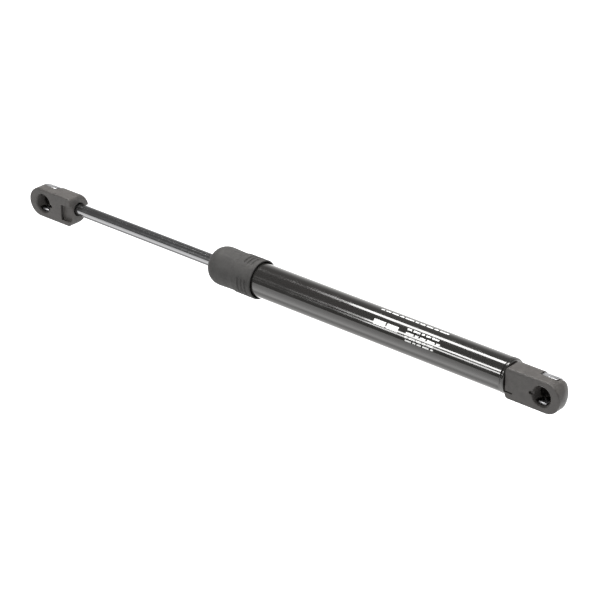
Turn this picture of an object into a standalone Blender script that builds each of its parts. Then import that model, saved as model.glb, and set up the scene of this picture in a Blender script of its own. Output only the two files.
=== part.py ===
"""Gas strut stay: a gas-charged tube and a sliding rod with a plastic ball socket at each end.

The strut lies along X and is modelled fully extended. The origin is the centre of the tube-end ball
socket, the rod runs out towards -X, and both sockets open towards -Y. Drawing units are millimetres.
"""

import math

import bmesh
import bpy
from mathutils import Matrix, Vector

MM = 0.001
SEGMENTS = 32  # facets of every round piece, so that neighbours keep their clearance

# overall
BALL_TO_BALL = 402.0  # centre to centre of the two ball sockets, extended
ROD_BALL_X = -BALL_TO_BALL
GAP = 0.3  # axial gap between stacked pieces

# pressure tube
TUBE_R = 11.0
TUBE_BORE_R = 9.8
TUBE_REAR_X = -25.4
TUBE_FRONT_X = -248.7
LIP_R = 7.2  # hole in the rolled front lip
LIP_T = 1.2
REAR_WALL_T = 1.3
REAR_ROUND = 1.2  # outside corner of the closed end
REAR_GROOVE_X = TUBE_REAR_X - 1.9  # groove rolled in behind the rim of the closed end
STUD_HOLE_R = 5.2
FIT_R = TUBE_BORE_R - 0.2  # outside of every piece held in the tube
O_RING_X, O_RING_R, O_RING_SECTION_R = 4.5, 8.85, 0.88
O_RING_FLOOR_R = 7.9

# guide stack, from the front lip inwards
WASHER_T = 1.5
GUIDE_LENGTH = 9.9
BUSH_R = 5.2  # between the bronze bush and its aluminium housing
SEAL_LENGTH = 5.0
STACK_FRONT_X = TUBE_FRONT_X + LIP_T + GAP
STACK_REAR_X = STACK_FRONT_X + 2 * WASHER_T + GUIDE_LENGTH + SEAL_LENGTH + 3 * GAP
BEAD_X = STACK_REAR_X + 1.7  # rolled bead that stops the stack

# piston rod and threaded ends
ROD_R = 4.0
THREAD_R = 3.9
TENON_R = 3.0
THREAD_END = 11.0  # from the ball centre to the end of the thread
SLIDING = 0.06  # radial clearance of the sliding fits
LOOSE = 0.15

# piston stack, on the rod's tenon
PISTON_FRONT_X = STACK_REAR_X + 3.3
PISTON_WASHER_T = 1.2
PISTON_LENGTH = 7.0
PISTON_REAR_X = PISTON_FRONT_X + 2 * PISTON_WASHER_T + PISTON_LENGTH + 2 * GAP

# end plug
PLUG_LENGTH = 10.8
PLUG_REAR_X = TUBE_REAR_X - REAR_WALL_T - GAP
PLUG_FRONT_X = PLUG_REAR_X - PLUG_LENGTH
PLUG_O_RING_X = PLUG_FRONT_X + 3.6

# plastic end fitting, in its own frame: ball centre at the origin, strut side towards -X
FIT_END = 25.0
FIT_FRONT = 9.0
FIT_HALF = 10.0
FIT_BACK = 8.4  # depth of the half-elliptical back
FIT_CORNER = 2.2
NOSE_R = 9.6
NOSE_X = 2.9
NOSE_RIM_Y = -7.0  # in front of this the nose is straight, behind it a dome
BALL_R = 5.15  # seat for a 10 mm ball
THROAT_R = 4.45
MOUTH_R = 6.8
BORE_R = 4.05
COUNTERBORE_R = 4.6

# safety clip
STRAP_BACK = 7.9  # mid-line of the strap: its depth behind the axis and its half height
STRAP_HALF = 9.0
STRAP_T = 0.8
STRAP_HALF_W = 5.2
LEG_HALF_W = 4.0
CLIP_SHIFT = -0.5  # the strap sits against one side of its recess

# dust boot
BOOT_FRONT_X = TUBE_FRONT_X - 5.9
BOOT_REAR_X = -216.0
BOOT_R = 12.2
BOOT_BULB_R = 12.55  # widest part of the dome
BOOT_RIB_R = 12.75
BOOT_RIM_R = 11.8  # inside the flared rear rim
BOOT_BORE_R = 11.15
WIPER_FRONT_X = BOOT_FRONT_X + 1.9
WIPER_LENGTH = 3.0


def clear_scene():
    for old in list(bpy.data.objects):
        bpy.data.objects.remove(old)


def material(name, colour, metallic, roughness):
    made = bpy.data.materials.new(name)
    made.use_nodes = True
    shader = made.node_tree.nodes["Principled BSDF"]
    shader.inputs["Base Color"].default_value = (*colour, 1.0)
    shader.inputs["Metallic"].default_value = metallic
    shader.inputs["Roughness"].default_value = roughness
    made.diffuse_color = (*colour, 1.0)
    return made


def steel(name):
    return material(name, (0.55, 0.56, 0.58), 1.0, 0.3)


def rubber(name):
    return material(name, (0.03, 0.03, 0.032), 0.0, 0.6)


def nylon(name):
    return material(name, (0.12, 0.118, 0.115), 0.0, 0.5)


def to_object(name, shape, look=None, origin_x=0.0):
    """A named object from a bmesh drawn in millimetres, with its origin on the strut's axis."""
    bmesh.ops.remove_doubles(shape, verts=shape.verts, dist=1e-5)
    bmesh.ops.recalc_face_normals(shape, faces=shape.faces)
    bmesh.ops.translate(shape, vec=(-origin_x, 0, 0), verts=shape.verts)
    bmesh.ops.scale(shape, vec=(MM, MM, MM), verts=shape.verts)
    mesh = bpy.data.meshes.new(name)
    shape.to_mesh(mesh)
    shape.free()
    made = bpy.data.objects.new(name, mesh)
    made.location = (origin_x * MM, 0, 0)
    bpy.context.scene.collection.objects.link(made)
    if look:
        mesh.materials.append(look)
    mesh.shade_smooth()
    mesh.set_sharp_from_angle(angle=math.radians(32))
    return made


def turned(outline, segments=SEGMENTS):
    """A bmesh turned about X from a closed outline of (x, r) points. Points with r = 0 are on the axis."""
    shape = bmesh.new()
    rings = []
    for x, r in outline:
        if r == 0:
            rings.append([shape.verts.new((x, 0, 0))] * segments)
            continue
        ring = []
        for i in range(segments):
            angle = 2 * math.pi * i / segments
            ring.append(shape.verts.new((x, r * math.cos(angle), r * math.sin(angle))))
        rings.append(ring)
    for a, b in zip(rings, rings[1:] + rings[:1]):
        for i in range(segments):
            j = (i + 1) % segments
            corners = list(dict.fromkeys((a[i], a[j], b[j], b[i])))
            if len(corners) > 2:
                shape.faces.new(corners)
    return shape


def lofted(rings):
    """A bmesh skinned through rings of equally many points, with flat ends."""
    shape = bmesh.new()
    rings = [[shape.verts.new(point) for point in ring] for ring in rings]
    for a, b in zip(rings, rings[1:]):
        for i in range(len(a)):
            j = (i + 1) % len(a)
            shape.faces.new((a[i], a[j], b[j], b[i]))
    shape.faces.new(rings[0])
    shape.faces.new(rings[-1][::-1])
    return shape


def prism(polygon, start, end):
    """A bmesh of a closed polygon of (y, z) points pushed along X."""
    return lofted([[(x, y, z) for y, z in polygon] for x in (start, end)])


def block(x, y, z):
    return prism([(y[0], z[0]), (y[1], z[0]), (y[1], z[1]), (y[0], z[1])], x[0], x[1])


def arc(radius, first, last, steps, centre=(0.0, 0.0), second=None):
    """Points on an arc, angles in degrees. A second radius makes it part of an ellipse."""
    points = []
    for i in range(steps + 1):
        angle = math.radians(first + (last - first) * i / steps)
        up = (second or radius) * math.sin(angle)
        points.append((centre[0] + radius * math.cos(angle), centre[1] + up))
    return points


def ribbon(path, thickness):
    """The outline of a strip of constant thickness along a path, with mitred corners."""
    path = [Vector(point) for point in path]
    left, right = [], []
    for i, point in enumerate(path):
        before = (point - path[i - 1]).normalized() if i else (path[1] - point).normalized()
        after = (path[i + 1] - point).normalized() if i + 1 < len(path) else before
        middle = (before + after).normalized()
        across = Vector((-middle.y, middle.x))
        reach = thickness / 2 / max(0.5, across.dot(Vector((-before.y, before.x))))
        left.append(tuple(point + across * reach))
        right.append(tuple(point - across * reach))
    return left + right[::-1]


def cut(target, name, shape, place):
    """Cuts a hidden helper shape out of the target."""
    bmesh.ops.transform(shape, matrix=place, verts=shape.verts)
    helper = to_object(name, shape)
    helper.hide_render = True
    helper.display_type = "WIRE"
    step = target.modifiers.new(name, "BOOLEAN")
    step.operation = "DIFFERENCE"
    step.solver = "EXACT"
    step.object = helper


def ring_section(x, r, section_r, steps=8):
    """The outline of an O-ring centred at (x, r)."""
    return arc(section_r, 0, 360 - 360 / steps, steps - 1, (x, r))


def grooved(x, r, width, depth):
    """Four points that dip an outline from radius r by depth, from the smaller x to the larger."""
    half = width / 2
    return [(x - half, r), (x - half * 0.6, r - depth), (x + half * 0.6, r - depth), (x + half, r)]


def ring(name, x, length, bore, outer, look, origin_x=0.0):
    """A plain ring, such as a washer."""
    outline = [(x, bore), (x, outer), (x + length, outer), (x + length, bore)]
    to_object(name, turned(outline), look, origin_x)


def pressure_tube():
    wall_x = TUBE_REAR_X - REAR_WALL_T
    lip_x = TUBE_FRONT_X + LIP_T
    outline = [(TUBE_FRONT_X, LIP_R), (TUBE_FRONT_X, TUBE_R - 1.6)]
    outline += [(TUBE_FRONT_X + 0.5, TUBE_R - 0.6), (TUBE_FRONT_X + 1.6, TUBE_R)]
    outline += grooved(BEAD_X, TUBE_R, 2.0, 0.5)
    outline += grooved(REAR_GROOVE_X, TUBE_R, 1.3, 0.6)
    outline += arc(REAR_ROUND, 90, 0, 5, (TUBE_REAR_X - REAR_ROUND, TUBE_R - REAR_ROUND))
    outline += [(TUBE_REAR_X, STUD_HOLE_R), (wall_x, STUD_HOLE_R), (wall_x, TUBE_BORE_R - 1.5)]
    outline += [(wall_x - 1.4, TUBE_BORE_R)]
    outline += reversed(grooved(BEAD_X, TUBE_BORE_R, 2.0, 0.45))
    outline += [(lip_x, TUBE_BORE_R), (lip_x, LIP_R)]
    look = material("gloss_black_paint", (0.012, 0.012, 0.013), 0.0, 0.16)
    to_object("pressure_tube", turned(outline), look)


def end_plug():
    front, rear, groove = PLUG_FRONT_X, PLUG_REAR_X, PLUG_O_RING_X
    outline = [(front, 0), (front, FIT_R - 1), (front + 0.8, FIT_R)]
    outline += [(groove - 1.2, FIT_R), (groove - 1.2, O_RING_FLOOR_R)]
    outline += [(groove + 1.2, O_RING_FLOOR_R), (groove + 1.2, FIT_R)]
    outline += [(rear - 1.3, FIT_R), (rear, FIT_R - 1.4), (rear, STUD_HOLE_R - 0.6), (rear + 0.9, THREAD_R)]
    outline += [(-THREAD_END - 0.6, THREAD_R), (-THREAD_END, THREAD_R - 0.6), (-THREAD_END, 0)]
    to_object("end_plug", turned(outline), steel("zinc_plated_plug"))
    o_ring = ring_section(PLUG_O_RING_X, O_RING_R, O_RING_SECTION_R)
    to_object("end_plug_o_ring", turned(o_ring), rubber("plug_o_ring_rubber"))


def rod_guide_stack():
    """What closes the front of the tube round the rod, from the lip inwards."""
    x = STACK_FRONT_X
    ring("guide_retaining_washer", x, WASHER_T, ROD_R + LOOSE, FIT_R, steel("retaining_washer_steel"))

    x += WASHER_T + GAP
    rear = x + GUIDE_LENGTH
    groove = x + O_RING_X
    outline = [(x, ROD_R + 0.5), (x, FIT_R - 0.5), (x + 0.5, FIT_R)]
    outline += [(groove - 1.2, FIT_R), (groove - 1.2, O_RING_FLOOR_R)]
    outline += [(groove + 1.2, O_RING_FLOOR_R), (groove + 1.2, FIT_R)]
    outline += [(rear - 0.5, FIT_R), (rear, FIT_R - 0.5), (rear, BUSH_R + 0.1)]
    outline += [(x + 0.6, BUSH_R + 0.1), (x + 0.6, ROD_R + 0.5)]
    look = material("guide_aluminium", (0.6, 0.61, 0.63), 1.0, 0.4)
    to_object("guide_housing", turned(outline), look)
    look = material("guide_bronze", (0.45, 0.3, 0.14), 1.0, 0.4)
    ring("guide_bush", x + 0.8, GUIDE_LENGTH - 0.9, ROD_R + SLIDING, BUSH_R - 0.1, look)
    o_ring = ring_section(groove, O_RING_R, O_RING_SECTION_R)
    to_object("guide_o_ring", turned(o_ring), rubber("guide_o_ring_rubber"))

    x = rear + GAP
    rear = x + SEAL_LENGTH
    outline = [(x, ROD_R + 0.7), (x, FIT_R), (rear, FIT_R), (rear, 7.9), (rear - 2.0, 7.3)]
    outline += [(rear - 2.0, 6.2), (rear, 5.6), (rear, ROD_R + LOOSE), (rear - 1.2, ROD_R + SLIDING)]
    to_object("rod_seal", turned(outline), rubber("rod_seal_rubber"))

    ring("seal_support_washer", rear + GAP, WASHER_T, ROD_R + LOOSE, FIT_R, steel("support_washer_steel"))


def piston_stack():
    """The piston held on the rod's tenon, with its ring and washers."""
    bore = TENON_R + 0.1
    x = PISTON_FRONT_X
    look = steel("front_washer_steel")
    ring("piston_front_washer", x, PISTON_WASHER_T, bore, 8.6, look, ROD_BALL_X)

    x += PISTON_WASHER_T + GAP
    rear = x + PISTON_LENGTH
    outer = TUBE_BORE_R - 0.25
    outline = [(x, bore), (x, outer - 0.5), (x + 0.5, outer), (x + 1.7, outer), (x + 1.7, 8.0)]
    outline += [(x + 4.9, 8.0), (x + 4.9, outer), (rear - 0.5, outer), (rear, outer - 0.5), (rear, bore)]
    look = material("piston_aluminium", (0.66, 0.67, 0.69), 1.0, 0.35)
    to_object("piston", turned(outline), look, ROD_BALL_X)

    outer = TUBE_BORE_R - SLIDING
    outline = [(x + 2.0, 8.2), (x + 2.0, outer - 0.3), (x + 2.3, outer), (x + 4.3, outer)]
    outline += [(x + 4.6, outer - 0.3), (x + 4.6, 8.2)]
    look = material("ring_ptfe", (0.5, 0.5, 0.48), 0.0, 0.4)
    to_object("piston_ring", turned(outline), look, ROD_BALL_X)

    look = steel("rear_washer_steel")
    ring("piston_rear_washer", rear + GAP, PISTON_WASHER_T, bore, 7.0, look, ROD_BALL_X)


def piston_rod():
    """Ground rod: a thread at the fitting end, a tenon under the piston and a riveted head."""
    start = ROD_BALL_X + THREAD_END
    neck = ROD_BALL_X + FIT_END - 1.3
    shoulder = PISTON_FRONT_X - GAP
    head = PISTON_REAR_X + GAP
    outline = [(start, 0), (start, THREAD_R - 0.6), (start + 0.6, THREAD_R), (neck, THREAD_R), (neck, ROD_R)]
    outline += [(shoulder - 0.6, ROD_R), (shoulder, TENON_R), (head, TENON_R), (head, 4.4)]
    outline += [(head + 0.9, 4.1), (head + 1.5, 3.0), (head + 1.6, 0)]
    look = material("hard_chrome_rod", (0.62, 0.63, 0.65), 1.0, 0.14)
    to_object("piston_rod", turned(outline), look, ROD_BALL_X)


def dust_boot():
    """Rubber boot over the tube's front: a shallow dome round the rod, then a ribbed grip."""
    front, rear, bore, seat = BOOT_FRONT_X, BOOT_REAR_X, BOOT_BORE_R, TUBE_FRONT_X - 0.5
    cup = WIPER_FRONT_X - 0.3
    outline = [(front, ROD_R + 0.4), (front, 5.8), (front + 0.4, 7.8), (front + 1.3, 9.4)]
    outline += [(front + 2.9, 10.9), (front + 5.3, 12.0), (front + 8.8, BOOT_BULB_R)]
    outline += [(front + 14.5, BOOT_BULB_R - 0.15), (front + 20.0, BOOT_R)]
    outline += [(rear - 16.4, BOOT_R + 0.1), (rear - 15.0, BOOT_RIB_R)]
    for back in (9.5, 6.6, 3.7):
        outline += grooved(rear - back, BOOT_RIB_R, 1.7, 0.8)
    outline += [(rear - 0.6, BOOT_RIB_R), (rear, BOOT_RIB_R - 0.3), (rear, BOOT_RIM_R)]
    outline += [(rear - 2.6, BOOT_RIM_R), (rear - 3.4, bore), (seat + 2.0, bore), (seat + 0.5, bore - 0.45)]
    outline += [(seat, FIT_R), (seat, 7.0), (cup, 7.0), (cup, ROD_R + 0.4)]
    look = material("boot_rubber", (0.1, 0.1, 0.098), 0.0, 0.6)
    to_object("dust_boot", turned(outline), look)
    look = material("wiper_felt", (0.3, 0.28, 0.24), 0.0, 0.9)
    ring("wiper_ring", WIPER_FRONT_X, WIPER_LENGTH, ROD_R + 0.2, 6.8, look)


def fitting_body():
    """The moulded block before its cuts: flat front, half-oval back, domed nose, rounded strut end."""
    section = [(-FIT_FRONT, -FIT_HALF + 0.8), (-FIT_FRONT + 0.3, -FIT_HALF + 0.25)]
    section += [(-FIT_FRONT + 0.9, -FIT_HALF)] + arc(FIT_BACK, -90, 90, 22, second=FIT_HALF)
    section += [(-FIT_FRONT + 0.9, FIT_HALF), (-FIT_FRONT + 0.3, FIT_HALF - 0.25)]
    section += [(-FIT_FRONT, FIT_HALF - 0.8)]
    rings = []
    for x, lost in arc(FIT_CORNER, 180, 90, 5, (-FIT_END + FIT_CORNER, 0)):
        narrow = (FIT_HALF - FIT_CORNER + lost) / FIT_HALF
        rings.append([(x, y, z * narrow) for y, z in section])
    for x, share in arc(NOSE_R, 90, 4, 13, (NOSE_X, 0), second=1.0):
        shrunk = [(min(y, NOSE_RIM_Y + (y - NOSE_RIM_Y) * share), z * share) for y, z in section]
        rings.append([(x, y, z) for y, z in shrunk])
    return lofted(rings)


def end_fitting(name, place, origin_x, recess_x, extra_cuts):
    """The moulded ball-socket block, threaded into from -X. The clip's recess spans recess_x."""
    shape = fitting_body()
    bmesh.ops.transform(shape, matrix=place, verts=shape.verts)
    made = to_object(name, shape, nylon(name + "_nylon"), origin_x)

    seat = arc(BALL_R, 0, 120, 10) + [(-3.4, THROAT_R), (-8.2, MOUTH_R - 0.6), (-FIT_FRONT, MOUTH_R)]
    seat += [(-FIT_FRONT - 1, MOUTH_R + 1), (-FIT_FRONT - 1, 0)]
    to_front = place @ Matrix.Rotation(math.radians(90), 4, "Z")
    cut(made, name + "_seat", turned(seat), to_front)

    bore = [(-FIT_END - 1, 0), (-FIT_END - 1, COUNTERBORE_R), (-FIT_END + 1.5, COUNTERBORE_R)]
    bore += [(-FIT_END + 1.5, BORE_R), (-THREAD_END + 0.8, BORE_R), (-THREAD_END + 2.0, 0)]
    cut(made, name + "_bore", turned(bore), place)

    recess = arc(STRAP_BACK + 3, -101, 101, 24, second=STRAP_HALF + 2.5)
    recess += arc(STRAP_BACK - 0.6, 105, -105, 24, second=STRAP_HALF - 0.6)
    cut(made, name + "_strap_recess", prism(recess, *recess_x), place)
    for side_name, up in (("upper", 1), ("lower", -1)):
        slot = block((-4.6, 4.6), (-2.0, 2.8), sorted((up * 4.9, up * (STRAP_HALF + 0.2))))
        cut(made, f"{name}_{side_name}_leg_slot", slot, place)
        way = block((-4.65, 4.65), (-7.2, -1.8), sorted((up * 3.6, up * 6.6)))
        cut(made, f"{name}_{side_name}_leg_way", way, place)
    cut(made, name + "_key", block((-8.4, -5.8), (-10, -7.4), (-0.9, 0.9)), place)
    for index, shape in enumerate(extra_cuts):
        cut(made, f"{name}_relief_{index}", shape, place)


def safety_clip(name, place, origin_x):
    """A spring-steel strap round the back of the fitting whose hooked legs close the socket's neck."""
    turn = STRAP_HALF - 0.5  # height at which each leg turns into the strap
    path = [(-5.4, 3.9), (-6.2, 5.5), (-5.9, 5.95), (-1.5, 5.95), (-1.2, 6.3), (-1.2, turn)]
    path += arc(STRAP_BACK, 97, -97, 26, second=STRAP_HALF)
    path += [(-1.2, -turn), (-1.2, -6.3), (-1.5, -5.95), (-5.9, -5.95), (-6.2, -5.5), (-5.4, -3.9)]
    shape = prism(ribbon(path, STRAP_T), -STRAP_HALF_W, STRAP_HALF_W)
    place = Matrix.Translation((CLIP_SHIFT, 0, 0)) @ place
    bmesh.ops.transform(shape, matrix=place, verts=shape.verts)
    made = to_object(name, shape, steel(name + "_spring_steel"), origin_x)
    for side_name, side in (("a", 1), ("b", -1)):
        trim = block(sorted((side * LEG_HALF_W, side * 7.0)), (-8.0, -0.5), (-turn - 0.15, turn + 0.15))
        cut(made, f"{name}_leg_trim_{side_name}", trim, place)


def end_fittings():
    tube_end = Matrix.Identity(4)
    rod_end = Matrix.Translation((ROD_BALL_X, 0, 0)) @ Matrix.Rotation(math.pi, 4, "Y")

    slit = block((-FIT_END - 1, -19.6), (-10, -6.4), (-5.7, -5.0))
    end_fitting("tube_end_fitting", tube_end, 0.0, (-6.0, 7.0), [slit])
    safety_clip("tube_clip", tube_end, 0.0)

    # two core pockets: one in the front face, one low in the back that leaves a hood over the rod
    window = block((-FIT_END - 1, -17.0), (-10, -6.6), (-4.0, 6.65))
    notch = block((-FIT_END - 1, -17.0), (5.6, 10), (-0.6, 10.5))
    end_fitting("rod_end_fitting", rod_end, ROD_BALL_X, (-7.0, 6.0), [window, notch])
    safety_clip("rod_clip", rod_end, ROD_BALL_X)


clear_scene()
pressure_tube()
end_plug()
rod_guide_stack()
piston_stack()
piston_rod()
dust_boot()
end_fittings()
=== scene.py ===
import math

import bmesh
import bpy
from mathutils import Matrix, Vector


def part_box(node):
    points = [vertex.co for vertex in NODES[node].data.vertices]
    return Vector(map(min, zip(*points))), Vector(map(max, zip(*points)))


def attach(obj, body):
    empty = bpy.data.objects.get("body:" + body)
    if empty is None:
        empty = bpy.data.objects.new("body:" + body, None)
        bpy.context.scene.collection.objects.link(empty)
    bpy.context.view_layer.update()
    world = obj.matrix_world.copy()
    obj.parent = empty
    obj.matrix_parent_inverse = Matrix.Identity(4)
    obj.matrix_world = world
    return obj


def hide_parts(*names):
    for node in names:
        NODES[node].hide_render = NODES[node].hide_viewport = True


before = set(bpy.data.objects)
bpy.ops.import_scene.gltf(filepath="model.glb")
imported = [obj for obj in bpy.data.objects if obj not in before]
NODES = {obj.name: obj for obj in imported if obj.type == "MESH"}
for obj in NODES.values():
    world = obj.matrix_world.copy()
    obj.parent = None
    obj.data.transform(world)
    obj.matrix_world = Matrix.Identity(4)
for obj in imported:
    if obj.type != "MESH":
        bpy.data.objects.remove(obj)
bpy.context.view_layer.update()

# Shapes are drawn in millimetres and turned into metres once, when a mesh is made.
MM = 0.001
ROUND = 128  # segments of a turned piece

# ---------------------------------------------------------------- places from the frame


def corners(node):
    low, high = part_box(node)
    return low / MM, high / MM


TUBE_LOW, TUBE_HIGH = corners("pressure_tube")
BOOT_LOW, BOOT_HIGH = corners("dust_boot")
ROD_LOW, ROD_HIGH = corners("piston_rod")
FIT_LOW, FIT_HIGH = corners("tube_end_fitting")
ROD_FIT_HIGH = corners("rod_end_fitting")[1]
CLIP_HIGH = corners("tube_clip")[1]

TUBE_R = TUBE_HIGH.z
TUBE_BORE_R = TUBE_R - 1.2
TUBE_FRONT_ROUND = 1.6
TUBE_REAR_ROUND = 1.15
LIP_R = 7.2
LIP_T = 1.2
REAR_WALL_T = 1.3
STUD_HOLE_R = 5.2
BEAD_X = TUBE_LOW.x + 22.0  # grooves rolled into the tube
REAR_GROOVE_X = TUBE_HIGH.x - 1.9

BOOT_RIB_R = BOOT_HIGH.z
BOOT_R = BOOT_RIB_R - 0.55
BOOT_BULB_R = BOOT_R + 0.4
DOME_LENGTH = 8.8
GRIP_LENGTH = 15.0
RIB_DEPTH = 0.85
RIB_HALF_W = 1.05
BOOT_BORE_R = TUBE_R + 0.15
PAD_ANGLE = 38.0  # middle of the smooth pad between the boot's ribs, above -Y
PAD_HALF = 20.0  # degrees of turn without ribs, then those over which they fade in
PAD_FADE = 8.0

ROD_R = 4.0
ROD_GAP = 0.4  # between the rod and the boot
THREAD_R = 3.9
TENON_R = 3.0
TENON_LENGTH = 10.6
HEAD_T = 1.6

FIT_END = -FIT_LOW.x
FIT_FRONT = -FIT_LOW.y
FIT_HALF = FIT_HIGH.z
FIT_BACK = FIT_HIGH.y
NOSE_X = 2.9
NOSE_R = 9.6
NOSE_RIM_Y = -7.0
BALL_R = 5.15
THROAT_R = 4.45
MOUTH_R = 6.8
ROD_BALL_X = ROD_FIT_HIGH.x - FIT_END

BORE_R = 4.05  # the fittings' bore for the thread, and its wider mouth
BORE_MOUTH_R = 4.6
SECTION_EDGE_R = 0.9
STRUT_END_R = 2.2
CARVE_GRAIN = 0.24

STRAP_T = 0.8
STRAP_EDGE = 0.14
STRAP_HALF_W = 5.2
LEG_HALF_W = 2.8
STRAP_HALF = CLIP_HIGH.z - STRAP_T / 2
STRAP_BACK = CLIP_HIGH.y - STRAP_T / 2
CLIP_SHIFT = -0.5

BAR_SUNK = 0.05
BAR_PROUD = 0.03

# The studio's measures are in metres.
FLOOR_HALF = 16.0
FLOOR_Z = -0.9
STRIP_AWAY = 1.1
CAMERA_AWAY = 1.3823

# ---------------------------------------------------------------- materials


class Look:
    """A procedural material under construction, on a Principled BSDF."""

    def __init__(self, name, colour, metallic=0.0, roughness=0.5):
        self.material = bpy.data.materials.new(name)
        self.material.use_nodes = True
        self.nodes = self.material.node_tree.nodes
        self.links = self.material.node_tree.links
        self.shader = self.nodes["Principled BSDF"]
        self.colour = colour
        self.set("Base Color", (*colour, 1.0))
        self.set("Metallic", metallic)
        self.set("Roughness", roughness)
        self.place = self.nodes.new("ShaderNodeTexCoord").outputs["Object"]
        self.heights = []

    def set(self, socket, value):
        self.shader.inputs[socket].default_value = value

    def noise(self, size_mm, detail=3.0, stretch=(1.0, 1.0, 1.0)):
        """Noise whose features are about size_mm across."""
        mapping = self.nodes.new("ShaderNodeMapping")
        mapping.inputs["Scale"].default_value = stretch
        self.links.new(self.place, mapping.inputs["Vector"])
        noise = self.nodes.new("ShaderNodeTexNoise")
        noise.inputs["Scale"].default_value = 1.0 / (size_mm * MM)
        noise.inputs["Detail"].default_value = detail
        self.links.new(mapping.outputs["Vector"], noise.inputs["Vector"])
        return noise.outputs["Fac"]

    def spread(self, value, low, high):
        """Maps the middle of a noise onto low..high."""
        ranged = self.nodes.new("ShaderNodeMapRange")
        ranged.inputs["From Min"].default_value = 0.3
        ranged.inputs["From Max"].default_value = 0.7
        ranged.inputs["To Min"].default_value = low
        ranged.inputs["To Max"].default_value = high
        self.links.new(value, ranged.inputs["Value"])
        return ranged.outputs["Result"]

    def mottle(self, value, darker, lighter):
        """Varies the base colour between two shares of itself."""
        mix = self.nodes.new("ShaderNodeMix")
        mix.data_type = "RGBA"
        mix.inputs["A"].default_value = (*(c * darker for c in self.colour), 1.0)
        mix.inputs["B"].default_value = (*(c * lighter for c in self.colour), 1.0)
        self.links.new(self.spread(value, 0.0, 1.0), mix.inputs["Factor"])
        self.links.new(mix.outputs["Result"], self.shader.inputs["Base Color"])

    def gloss(self, value, low, high):
        """Varies the roughness."""
        self.links.new(self.spread(value, low, high), self.shader.inputs["Roughness"])

    def painted_shadow_round(self, middle, stretch, near, far, darker, glow):
        """A painted soft oval shadow round a middle in metres that fades out, and a glow that grows, with
        distance.
        """
        flat = self.nodes.new("ShaderNodeMapping")
        flat.inputs["Scale"].default_value = (stretch, 1.0, 0.0)
        flat.inputs["Location"].default_value = (-middle[0] * stretch, -middle[1], 0.0)
        self.links.new(self.place, flat.inputs["Vector"])
        length = self.nodes.new("ShaderNodeVectorMath")
        length.operation = "LENGTH"
        self.links.new(flat.outputs["Vector"], length.inputs[0])
        ranged = self.nodes.new("ShaderNodeMapRange")
        ranged.inputs["From Min"].default_value = near
        ranged.inputs["From Max"].default_value = far
        self.links.new(length.outputs["Value"], ranged.inputs["Value"])
        share = ranged.outputs["Result"]
        # painted shadow: the base colour darkens towards the middle
        mix = self.nodes.new("ShaderNodeMix")
        mix.data_type = "RGBA"
        mix.inputs["A"].default_value = (*(c * darker for c in self.colour), 1.0)
        mix.inputs["B"].default_value = (*self.colour, 1.0)
        self.links.new(share, mix.inputs["Factor"])
        self.links.new(mix.outputs["Result"], self.shader.inputs["Base Color"])
        # the glow also weakens towards the middle, as part of the same painted shadow
        strength = self.nodes.new("ShaderNodeMapRange")
        strength.inputs["To Max"].default_value = glow
        self.links.new(share, strength.inputs["Value"])
        self.links.new(strength.outputs["Result"], self.shader.inputs["Emission Strength"])

    def relief(self, value, depth_mm):
        """Raises the surface by up to depth_mm."""
        bump = self.nodes.new("ShaderNodeBump")
        bump.inputs["Strength"].default_value = 1.0
        bump.inputs["Distance"].default_value = depth_mm * MM
        self.links.new(value, bump.inputs["Height"])
        if self.heights:
            self.links.new(self.heights[-1], bump.inputs["Normal"])
        self.heights.append(bump.outputs["Normal"])
        self.links.new(bump.outputs["Normal"], self.shader.inputs["Normal"])


def gloss_paint():
    look = Look("gloss_black_paint", (0.0125, 0.012, 0.0115), roughness=0.1)
    look.set("Coat Weight", 1.0)
    look.set("Coat Tint", (1.0, 0.985, 0.965, 1.0))
    look.set("Coat Roughness", 0.035)
    look.gloss(look.noise(9.0), 0.08, 0.2)
    look.relief(look.noise(1.4, 2.0), 0.0012)
    return look.material


def chrome():
    look = Look("hard_chrome", (0.35, 0.35, 0.355), metallic=1.0)
    look.set("Specular Tint", (0.5, 0.5, 0.5, 1.0))
    look.gloss(look.noise(6.0, stretch=(1.0, 0.3, 0.3)), 0.12, 0.2)
    look.relief(look.noise(0.12, 2.0, stretch=(1.0, 0.03, 0.03)), 0.0006)
    return look.material


def moulded_nylon():
    look = Look("glass_filled_nylon", (0.049, 0.0455, 0.0428))
    look.set("Specular IOR Level", 0.38)
    look.mottle(look.noise(3.5), 0.88, 1.14)
    look.gloss(look.noise(1.1), 0.4, 0.56)
    look.relief(look.noise(0.22, 4.0), 0.012)
    look.relief(look.noise(1.8, 2.0, stretch=(0.5, 1.0, 1.0)), 0.02)
    return look.material


def boot_rubber():
    look = Look("boot_rubber", (0.0365, 0.0352, 0.0338))
    look.set("Specular IOR Level", 0.32)
    look.mottle(look.noise(5.0), 0.88, 1.16)
    look.gloss(look.noise(1.5), 0.58, 0.74)
    look.relief(look.noise(0.3, 4.0), 0.014)
    return look.material


def spring_steel():
    look = Look("spring_steel", (0.55, 0.55, 0.56), metallic=1.0)
    look.gloss(look.noise(1.6, stretch=(0.15, 1.0, 1.0)), 0.34, 0.48)
    look.relief(look.noise(0.2, 2.0, stretch=(0.08, 1.0, 1.0)), 0.0015)
    return look.material


def marking_ink():
    look = Look("marking_ink", (0.62, 0.62, 0.61), roughness=0.45)
    look.mottle(look.noise(0.5), 0.8, 1.05)
    return look.material


def machined(name, colour, low, high):
    """A turned or stamped metal, with rings round the strut's axis."""
    look = Look(name, colour, metallic=1.0)
    look.mottle(look.noise(4.0), 0.9, 1.08)
    look.gloss(look.noise(0.6, stretch=(1.0, 0.2, 0.2)), low, high)
    look.relief(look.noise(0.18, 2.0, stretch=(1.0, 0.1, 0.1)), 0.004)
    return look.material


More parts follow.
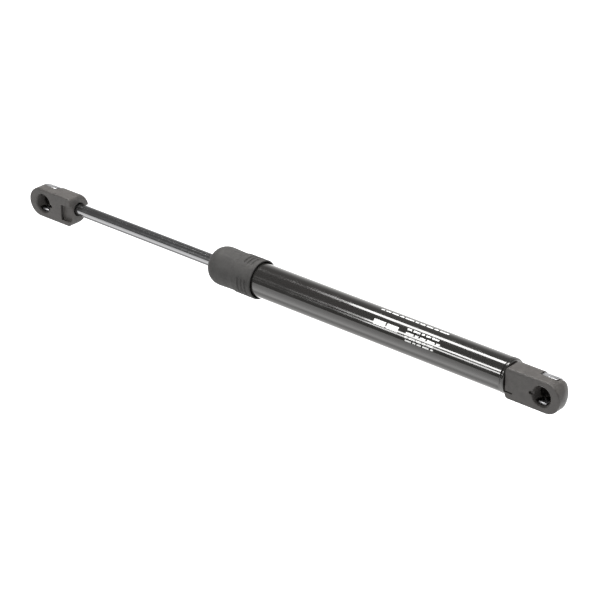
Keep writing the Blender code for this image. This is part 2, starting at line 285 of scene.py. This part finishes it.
def soft(name, colour, grain_mm, low, high, depth_mm):
    """A matte, grained rubber, plastic or felt."""
    look = Look(name, colour)
    look.mottle(look.noise(grain_mm * 6), 0.85, 1.15)
    look.gloss(look.noise(grain_mm * 2), low, high)
    look.relief(look.noise(grain_mm, 4.0), depth_mm)
    return look.material


# ---------------------------------------------------------------- shapes


def arc(radius, first, last, steps, centre=(0.0, 0.0), second=None):
    """Points on an arc, angles in degrees. A second radius makes it part of an ellipse."""
    points = []
    for i in range(steps + 1):
        angle = math.radians(first + (last - first) * i / steps)
        up = (second or radius) * math.sin(angle)
        points.append((centre[0] + radius * math.cos(angle), centre[1] + up))
    return points


def dip(x, r, half, depth, steps=12):
    """A smooth groove in an outside radius, from the smaller x to the larger.

    A close ring on either side keeps the long plain stretches beside it shaded straight.
    """
    points = [(x - half - 0.2, r)]
    for i in range(steps + 1):
        along = -1 + 2 * i / steps
        points.append((x + along * half, r - depth * (1 + math.cos(math.pi * along)) / 2))
    return points + [(x + half + 0.2, r)]


def filleted(points, radius, steps=5):
    """A path with its inner corners rounded."""
    points = [Vector(point) for point in points]
    path = [points[0]]
    for before, corner, after in zip(points, points[1:], points[2:]):
        reach = min(radius, (before - corner).length / 2, (after - corner).length / 2)
        start = corner + (before - corner).normalized() * reach
        end = corner + (after - corner).normalized() * reach
        for i in range(steps + 1):
            t = i / steps
            path.append(start * (1 - t) ** 2 + corner * 2 * t * (1 - t) + end * t**2)
    return path + [points[-1]]


def turned(outline, segments=ROUND, radius_at=None):
    """A bmesh turned about X from a closed outline of (x, r) points, with r = 0 on the axis."""
    shape = bmesh.new()
    rings = []
    for x, r in outline:
        if r == 0:
            rings.append([shape.verts.new((x, 0, 0))] * segments)
            continue
        ring = []
        for i in range(segments):
            angle = 2 * math.pi * i / segments
            here = radius_at(x, r, angle) if radius_at else r
            ring.append(shape.verts.new((x, here * math.cos(angle), here * math.sin(angle))))
        rings.append(ring)
    for a, b in zip(rings, rings[1:] + rings[:1]):
        for i in range(segments):
            j = (i + 1) % segments
            points = list(dict.fromkeys((a[i], a[j], b[j], b[i])))
            if len(points) > 2:
                shape.faces.new(points)
    return shape


def lofted(rings):
    """A bmesh skinned through rings of equally many points, with flat ends."""
    shape = bmesh.new()
    rings = [[shape.verts.new(point) for point in ring] for ring in rings]
    for a, b in zip(rings, rings[1:]):
        for i in range(len(a)):
            j = (i + 1) % len(a)
            shape.faces.new((a[i], a[j], b[j], b[i]))
    shape.faces.new(rings[0])
    shape.faces.new(rings[-1][::-1])
    return shape


def prism(polygon, start, end):
    """A bmesh of a closed polygon of (y, z) points pushed along X."""
    return lofted([[(x, y, z) for y, z in polygon] for x in (start, end)])


def block(x, y, z):
    return prism([(y[0], z[0]), (y[1], z[0]), (y[1], z[1]), (y[0], z[1])], x[0], x[1])


def to_object(name, shape, look=None, sharp=34):
    """An object from a bmesh in millimetres."""
    bmesh.ops.remove_doubles(shape, verts=shape.verts, dist=1e-5)
    bmesh.ops.recalc_face_normals(shape, faces=shape.faces)
    bmesh.ops.scale(shape, vec=(MM, MM, MM), verts=shape.verts)
    mesh = bpy.data.meshes.new(name)
    shape.to_mesh(mesh)
    shape.free()
    made = bpy.data.objects.new(name, mesh)
    bpy.context.scene.collection.objects.link(made)
    if look:
        mesh.materials.append(look)
    mesh.shade_smooth()
    mesh.set_sharp_from_angle(angle=math.radians(sharp))
    return made


def stands_for(made, body, node):
    """The piece takes the place of a CAD node of the same body."""
    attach(made, body)
    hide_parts(node)


def carved(name, shape, cutters, look, grain_mm):
    """A moulded piece: the cutters are taken out, then every edge is softened to the same small radius."""
    base = to_object(name + "_base", shape)
    helpers = []
    for index, cutter in enumerate(cutters):
        helper = to_object(f"{name}_cutter_{index}", cutter)
        helpers.append(helper)
        step = base.modifiers.new(f"cut_{index}", "BOOLEAN")
        step.operation = "DIFFERENCE"
        step.solver = "EXACT"
        step.object = helper
    melt = base.modifiers.new("melt", "REMESH")
    melt.mode = "VOXEL"
    melt.voxel_size = grain_mm * MM
    melt.use_smooth_shade = True
    relax = base.modifiers.new("relax", "SMOOTH")
    relax.factor = 0.5
    relax.iterations = 5
    bpy.context.view_layer.update()
    graph = bpy.context.evaluated_depsgraph_get()
    mesh = bpy.data.meshes.new_from_object(base.evaluated_get(graph))
    mesh.name = name
    for used in [base, *helpers]:
        bpy.data.objects.remove(used)
    mesh.materials.clear()
    mesh.materials.append(look)
    mesh.shade_smooth()
    made = bpy.data.objects.new(name, mesh)
    bpy.context.scene.collection.objects.link(made)
    return made


# ---------------------------------------------------------------- the strut's pieces


def tube():
    front, rear = TUBE_LOW.x, TUBE_HIGH.x
    wall = rear - REAR_WALL_T
    round_middle = (front + TUBE_FRONT_ROUND, TUBE_R - TUBE_FRONT_ROUND)
    outline = [(front, LIP_R)] + arc(TUBE_FRONT_ROUND, 180, 90, 8, round_middle) + [(front + 1.9, TUBE_R)]
    outline += dip(BEAD_X, TUBE_R, 1.1, 0.5)
    outline += dip(REAR_GROOVE_X, TUBE_R, 0.75, 0.7)[:-1]
    outline += arc(TUBE_REAR_ROUND, 90, 0, 12, (rear - TUBE_REAR_ROUND, TUBE_R - TUBE_REAR_ROUND))
    outline += [(rear, STUD_HOLE_R), (wall, STUD_HOLE_R), (wall, TUBE_BORE_R - 1.5)]
    outline += [(wall - 1.4, TUBE_BORE_R)]
    outline += dip(BEAD_X, TUBE_BORE_R, 1.0, 0.45)[::-1]
    outline += [(front + LIP_T, TUBE_BORE_R), (front + LIP_T, LIP_R)]
    stands_for(to_object("painted_tube", turned(outline), gloss_paint()), "barrel", "pressure_tube")


def rod():
    start, head = ROD_LOW.x, ROD_HIGH.x - HEAD_T
    neck = ROD_FIT_HIGH.x - 1.3
    shoulder = head - TENON_LENGTH
    outline = [(start, 0), (start, THREAD_R - 0.6), (start + 0.6, THREAD_R), (neck - 0.3, THREAD_R)]
    outline += [(neck, ROD_R), (neck + 0.3, ROD_R), (shoulder - 0.9, ROD_R), (shoulder - 0.6, ROD_R)]
    outline += [(shoulder, TENON_R), (head, TENON_R)]
    outline += [(head, 4.4), (head + 0.9, 4.1), (head + 1.5, 3.0), (head + HEAD_T, 0)]
    stands_for(to_object("chromed_rod", turned(outline, 96), chrome()), "rod", "piston_rod")


def boot():
    """The boot's ribs run round it except over two smooth pads."""
    front, rear, bore = BOOT_LOW.x, BOOT_HIGH.x, BOOT_BORE_R
    seat = TUBE_LOW.x - 0.5
    cup = front + 1.6
    grip = rear - GRIP_LENGTH
    ribs = [rear - 9.5, rear - 6.6, rear - 3.7]

    def ribbed(x, r, angle):
        """Sinks the grooves between the ribs. The angle is the turn from +Y towards +Z."""
        if r < BOOT_R or x < grip:
            return r
        above_front = math.degrees(math.pi - angle)
        away = abs((above_front - PAD_ANGLE + 90) % 180 - 90)
        open_share = min(1.0, max(0.0, (away - PAD_HALF) / PAD_FADE))
        depth = 0.0
        for rib in ribs:
            along = min(1.0, abs(x - rib) / RIB_HALF_W)
            depth += RIB_DEPTH * (1 - along**3) ** 2
        return r - depth * open_share

    dome_centre = (front + DOME_LENGTH, 5.8)
    outline = [(front, ROD_R + ROD_GAP)]
    outline += arc(DOME_LENGTH, 180, 90, 22, dome_centre, second=BOOT_BULB_R - dome_centre[1])
    outline += [(front + 9 + i, BOOT_BULB_R - 0.15 * (1 - math.cos(math.pi * i / 11))) for i in range(1, 12)]
    outline += [(grip - 1.4, BOOT_R + 0.1), (grip - 1.0, BOOT_R + 0.18), (grip - 0.4, BOOT_RIB_R - 0.15)]
    outline += [(grip + 0.1, BOOT_RIB_R)]
    ring_gap = 0.15
    steps = int((rear - 0.9 - grip - 0.3) / ring_gap)
    outline += [(grip + 0.3 + ring_gap * i, BOOT_RIB_R) for i in range(steps)]
    outline += arc(0.5, 90, 0, 5, (rear - 0.5, BOOT_RIB_R - 0.5))
    outline += [(rear, 11.95), (rear - 0.15, 11.8), (rear - 2.6, 11.8), (rear - 3.4, bore)]
    outline += [(seat + 2.0, bore), (seat + 0.5, bore - 0.45), (seat, 9.6), (seat, 7.0), (cup, 7.0)]
    outline += [(cup, ROD_R + ROD_GAP)]
    made = to_object("rubber_boot", turned(outline, 192, ribbed), boot_rubber(), sharp=40)
    stands_for(made, "barrel", "dust_boot")


def fitting_body():
    """The moulded block before its cuts: flat front, half-oval back, domed nose, rounded strut end."""
    edge_y, edge_z = -FIT_FRONT + SECTION_EDGE_R, FIT_HALF - SECTION_EDGE_R
    section = arc(SECTION_EDGE_R, 180, 270, 4, (edge_y, -edge_z))
    section += arc(FIT_BACK, -90, 90, 48, second=FIT_HALF)
    section += arc(SECTION_EDGE_R, 90, 180, 4, (edge_y, edge_z))
    rings = []
    for x, lost in arc(STRUT_END_R, 180, 90, 8, (-FIT_END + STRUT_END_R, 0)):
        narrow = (FIT_HALF - STRUT_END_R + lost) / FIT_HALF
        rings.append([(x, y, z * narrow) for y, z in section])
    for x, share in arc(NOSE_R, 90, 3, 28, (NOSE_X, 0), second=1.0):
        rings.append([(x, min(y, NOSE_RIM_Y + (y - NOSE_RIM_Y) * share), z * share) for y, z in section])
    return lofted(rings)


def fitting_cutters(recess_x):
    """What is taken out of both fittings: ball seat, thread bore, clip recess, leg ways and key."""
    seat = arc(BALL_R, 0, 120, 24) + [(-3.4, THROAT_R), (-8.2, MOUTH_R - 0.6), (-FIT_FRONT, MOUTH_R)]
    seat += [(-FIT_FRONT - 1, MOUTH_R + 1), (-FIT_FRONT - 1, 0)]
    seat = turned(seat, 96)
    bmesh.ops.transform(seat, matrix=Matrix.Rotation(math.radians(90), 4, "Z"), verts=seat.verts)
    bore = [(-FIT_END - 1, 0), (-FIT_END - 1, BORE_MOUTH_R), (-FIT_END + 1.5, BORE_MOUTH_R)]
    bore += [(-FIT_END + 1.5, BORE_R), (-10.2, BORE_R), (-9.0, 0)]
    recess = arc(STRAP_BACK + 3, -101, 101, 48, second=STRAP_HALF + 2.5)
    recess += arc(STRAP_BACK - 0.6, 105, -105, 48, second=STRAP_HALF - 0.6)
    cutters = [seat, turned(bore, 96), prism(recess, *recess_x)]
    for up in (1, -1):
        cutters.append(block((-4.6, 4.6), (-2.0, 2.8), sorted((up * 4.9, up * (STRAP_HALF + 0.2)))))
        cutters.append(block((-4.65, 4.65), (-7.2, -1.8), sorted((up * 3.6, up * 6.6))))
    cutters.append(block((-8.4, -5.8), (-10, -7.4), (-0.9, 0.9)))
    return cutters


def fitting(name, place, body, node, recess_x, reliefs, look):
    shape = fitting_body()
    cutters = fitting_cutters(recess_x) + reliefs
    for one in [shape, *cutters]:
        bmesh.ops.transform(one, matrix=place, verts=one.verts)
    stands_for(carved(name, shape, cutters, look, CARVE_GRAIN), body, node)


def clip(name, place, body, node, look):
    """Spring strap round the back of the fitting, with two hooked legs."""
    leg = [(-5.75, 4.8), (-6.25, 5.95), (-1.2, 5.95), (-1.2, STRAP_HALF - 0.25)]
    strap = arc(STRAP_BACK, 97, -97, 56, second=STRAP_HALF)
    upper = filleted(leg + strap[:2], 0.75)[:-1]
    path = upper + [Vector(point) for point in strap[1:-1]] + [Vector((p.x, -p.y)) for p in upper[::-1]]
    half_t = STRAP_T / 2
    flat_t = half_t - STRAP_EDGE
    rings = []
    for i, point in enumerate(path):
        before = (point - path[i - 1]).normalized() if i else (path[1] - point).normalized()
        after = (path[i + 1] - point).normalized() if i + 1 < len(path) else before
        along = (before + after).normalized()
        across = Vector((-along.y, along.x))
        on_leg = abs(point.y) < STRAP_HALF - 0.5 and point.x < 0
        half_w = LEG_HALF_W if on_leg else STRAP_HALF_W
        flat_w = half_w - STRAP_EDGE
        section = [(half_w, flat_t), (flat_w, half_t), (-flat_w, half_t), (-half_w, flat_t)]
        section += [(-half_w, -flat_t), (-flat_w, -half_t), (flat_w, -half_t), (half_w, -flat_t)]
        rings.append([(x, *(point + across * out)) for x, out in section])
    shape = lofted(rings)
    place = Matrix.Translation((CLIP_SHIFT, 0, 0)) @ place
    bmesh.ops.transform(shape, matrix=place, verts=shape.verts)
    stands_for(to_object(name, shape, look, sharp=50), body, node)


def ends():
    tube_end = Matrix.Identity(4)
    rod_end = Matrix.Translation((ROD_BALL_X, 0, 0)) @ Matrix.Rotation(math.pi, 4, "Y")
    nylon = moulded_nylon()
    steel = spring_steel()

    slit = block((-FIT_END - 1, -19.6), (-10, -6.4), (-5.7, -5.0))
    seam = block((-22.6, -12.0), (-FIT_FRONT - 1, -FIT_FRONT + 0.6), (FIT_HALF - 1.5, FIT_HALF - 0.95))
    fitting("tube_socket", tube_end, "barrel", "tube_end_fitting", (-6.0, 7.0), [slit, seam], nylon)
    clip("tube_clip_spring_strap", tube_end, "tube_clip_spring", "tube_clip", steel)

    window = block((-FIT_END - 1, -17.0), (-10, -6.6), (-4.0, 6.65))
    notch = block((-FIT_END - 1, -17.0), (5.6, 10), (-0.6, 10.5))
    fitting("rod_socket", rod_end, "rod", "rod_end_fitting", (-7.0, 6.0), [window, notch], nylon)
    clip("rod_clip_spring_strap", rod_end, "rod_clip_spring", "rod_clip", steel)


def marking():
    """Plain bars where such a tube carries printing. They hold no letters."""
    shape = bmesh.new()
    gap = 1.1
    # a row's angle above -Y, first x, last x, height in degrees of turn, then its bars' lengths, repeated
    rows = [
        (92.0, -122.0, -69.0, 5.5, (2.4, 3.6, 4.6, 3.0, 6.4)),
        (40.0, -121.0, -102.0, 17.0, (8.6, 8.6)),
        (54.0, -97.0, -72.0, 5.5, (3.2, 5.0, 2.2)),
        (41.0, -97.0, -71.0, 5.5, (5.6, 2.6, 4.0)),
        (28.0, -97.0, -73.0, 5.5, (2.2, 4.4, 3.4)),
        (18.5, -96.0, -73.0, 4.5, (4.6, 2.0, 3.0)),
    ]
    for angle, x, last, height, lengths in rows:
        index = 0
        while x + lengths[index % len(lengths)] <= last:
            length = lengths[index % len(lengths)]
            bar(shape, x, x + length, angle - height / 2, angle + height / 2)
            x += length + gap
            index += 1
    made = to_object("tube_marking", shape, marking_ink())
    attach(made, "barrel")


def bar(shape, x0, x1, low, high, steps=6):
    """Adds one closed, curved bar a few hundredths of a millimetre proud of the tube."""
    rings = []
    for i in range(steps + 1):
        angle = math.radians(low + (high - low) * i / steps)
        ring = []
        for x, r in ((x0, -BAR_SUNK), (x1, -BAR_SUNK), (x1, BAR_PROUD), (x0, BAR_PROUD)):
            here = TUBE_R + r
            ring.append(shape.verts.new((x, -here * math.cos(angle), here * math.sin(angle))))
        rings.append(ring)
    for a, b in zip(rings, rings[1:]):
        for i in range(4):
            j = (i + 1) % 4
            shape.faces.new((a[i], a[j], b[j], b[i]))
    shape.faces.new(rings[0])
    shape.faces.new(rings[-1][::-1])


def inner_pieces():
    """The CAD nodes that stay as they are get a real finish."""
    zinc = machined("zinc_plated_steel", (0.62, 0.63, 0.64), 0.25, 0.4)
    aluminium = machined("turned_aluminium", (0.7, 0.71, 0.73), 0.28, 0.42)
    bronze = machined("sintered_bronze", (0.5, 0.33, 0.16), 0.38, 0.55)
    nitrile = soft("nitrile_rubber", (0.022, 0.022, 0.024), 0.3, 0.4, 0.6, 0.006)
    ptfe = soft("filled_ptfe", (0.42, 0.41, 0.38), 0.25, 0.35, 0.5, 0.004)
    felt = soft("oiled_felt", (0.22, 0.2, 0.17), 0.35, 0.85, 0.98, 0.08)
    finishes = {
        zinc: ("end_plug", "guide_retaining_washer", "seal_support_washer", "piston_front_washer",
               "piston_rear_washer"),
        aluminium: ("guide_housing", "piston"),
        bronze: ("guide_bush",),
        nitrile: ("end_plug_o_ring", "guide_o_ring", "rod_seal"),
        ptfe: ("piston_ring",),
        felt: ("wiper_ring",),
    }
    for look, names in finishes.items():
        for name in names:
            NODES[name].data.materials.clear()
            NODES[name].data.materials.append(look)


# ---------------------------------------------------------------- studio


def lamp(name, middle, out, length, width, radiance):
    """A rectangular lamp, its length along X as far as the out direction lets it, that shines against it."""
    light = bpy.data.lights.new(name, "AREA")
    light.shape = "RECTANGLE"
    light.size, light.size_y = length, width
    light.energy = radiance * math.pi * length * width
    made = bpy.data.objects.new(name, light)
    side = (Vector((1, 0, 0)) - out * out.x).normalized()
    turn = Matrix((side, out.cross(side), out)).transposed().to_4x4()
    made.matrix_world = Matrix.Translation(middle) @ turn
    bpy.context.scene.collection.objects.link(made)
    return made


def studio():
    """A pale floor, a long strip light overhead, two in front, and a broad lamp."""
    floor_mesh = bpy.data.meshes.new("floor")
    sides = ((-1, -1), (1, -1), (1, 1), (-1, 1))
    floor_mesh.from_pydata([(x * FLOOR_HALF, y * FLOOR_HALF, FLOOR_Z) for x, y in sides], [], [(0, 1, 2, 3)])
    floor = bpy.data.objects.new("floor", floor_mesh)
    bpy.context.scene.collection.objects.link(floor)
    pale = Look("pale_floor", (0.8, 0.8, 0.8), roughness=0.9)
    pale.set("Specular IOR Level", 0.0)
    pale.set("Emission Color", (1.0, 1.0, 1.0, 1.0))
    # painted shadow on the floor near the strut: darker colour and weaker glow towards its middle, mirrored
    # in the tube's underside
    pale.painted_shadow_round((-0.85, -0.1), 0.8, 0.34, 0.72, 0.72, 1.05)
    floor_mesh.materials.append(pale.material)

    # angle above -Y, first x, last x, width, radiance; each strip is seen in the tube along one narrow line
    strips = (("overhead", 95.0, -0.885, 0.5, 0.27, 12.0), ("front_high", 38.0, -0.855, -0.2, 0.17, 14.0),
              ("front_low", 22.0, -0.855, -0.2, 0.13, 10.5))
    for name, angle, start, end, width, radiance in strips:
        out = Vector((0, -math.cos(math.radians(angle)), math.sin(math.radians(angle))))
        # lengths and shares of the full radiance: the far end of each strip fades
        steps = ((start, end, 1.0), (start - 0.045, start, 0.15), (start - 0.33, start - 0.045, 0.015))
        for index, (first, last, share) in enumerate(steps):
            middle = Vector(((first + last) / 2, 0, 0)) + out * STRIP_AWAY
            lamp(f"{name}_{index}", middle, out, last - first, width, radiance * share)
    high = Vector((-0.25, 0.45, 1.6))
    broad = lamp("broad", high, (high - Vector((-0.2, 0, 0))).normalized(), 1.4, 1.2, 10.4)
    broad.visible_glossy = False


def room():
    """A dim room whose far side is bright near the horizon."""
    world = bpy.data.worlds.new("room")
    bpy.context.scene.world = world
    world.use_nodes = True
    nodes, links = world.node_tree.nodes, world.node_tree.links
    place = nodes.new("ShaderNodeTexCoord")
    split = nodes.new("ShaderNodeSeparateXYZ")
    links.new(place.outputs["Generated"], split.inputs["Vector"])
    low = nodes.new("ShaderNodeMapRange")  # 1 up to 6 degrees above the horizon, 0 from 40 degrees up
    low.inputs["From Min"].default_value = 0.65
    low.inputs["From Max"].default_value = 0.1
    links.new(split.outputs["Z"], low.inputs["Value"])
    far = nodes.new("ShaderNodeMapRange")  # 1 on the far side, 0 on the near side
    far.inputs["From Min"].default_value = 0.0
    far.inputs["From Max"].default_value = 0.35
    links.new(split.outputs["Y"], far.inputs["Value"])
    both = nodes.new("ShaderNodeMath")
    both.operation = "MULTIPLY"
    links.new(low.outputs["Result"], both.inputs[0])
    links.new(far.outputs["Result"], both.inputs[1])
    level = nodes.new("ShaderNodeMapRange")
    level.inputs["To Min"].default_value = 0.16
    level.inputs["To Max"].default_value = 1.0
    links.new(both.outputs["Value"], level.inputs["Value"])
    links.new(level.outputs["Result"], nodes["Background"].inputs["Strength"])
    nodes["Background"].inputs["Color"].default_value = (1.0, 1.0, 1.0, 1.0)


def camera():
    azimuth, elevation = math.radians(40.566), math.radians(26.913)
    aim = Vector((-185.43, 0, -3.8)) * MM
    back = Vector((math.sin(azimuth) * math.cos(elevation), -math.cos(azimuth) * math.cos(elevation),
                   math.sin(elevation)))
    lens = bpy.data.cameras.new("camera")
    lens.lens, lens.sensor_width = 135.71, 36.0
    lens.clip_start, lens.clip_end = 0.05, 50.0
    made = bpy.data.objects.new("camera", lens)
    made.location = aim + back * CAMERA_AWAY
    made.rotation_mode = "QUATERNION"
    made.rotation_quaternion = back.to_track_quat("Z", "Y")
    bpy.context.scene.collection.objects.link(made)
    bpy.context.scene.camera = made
    bpy.context.scene.view_settings.view_transform = "Standard"


tube()
rod()
boot()
ends()
marking()
inner_pieces()
studio()
room()
camera()
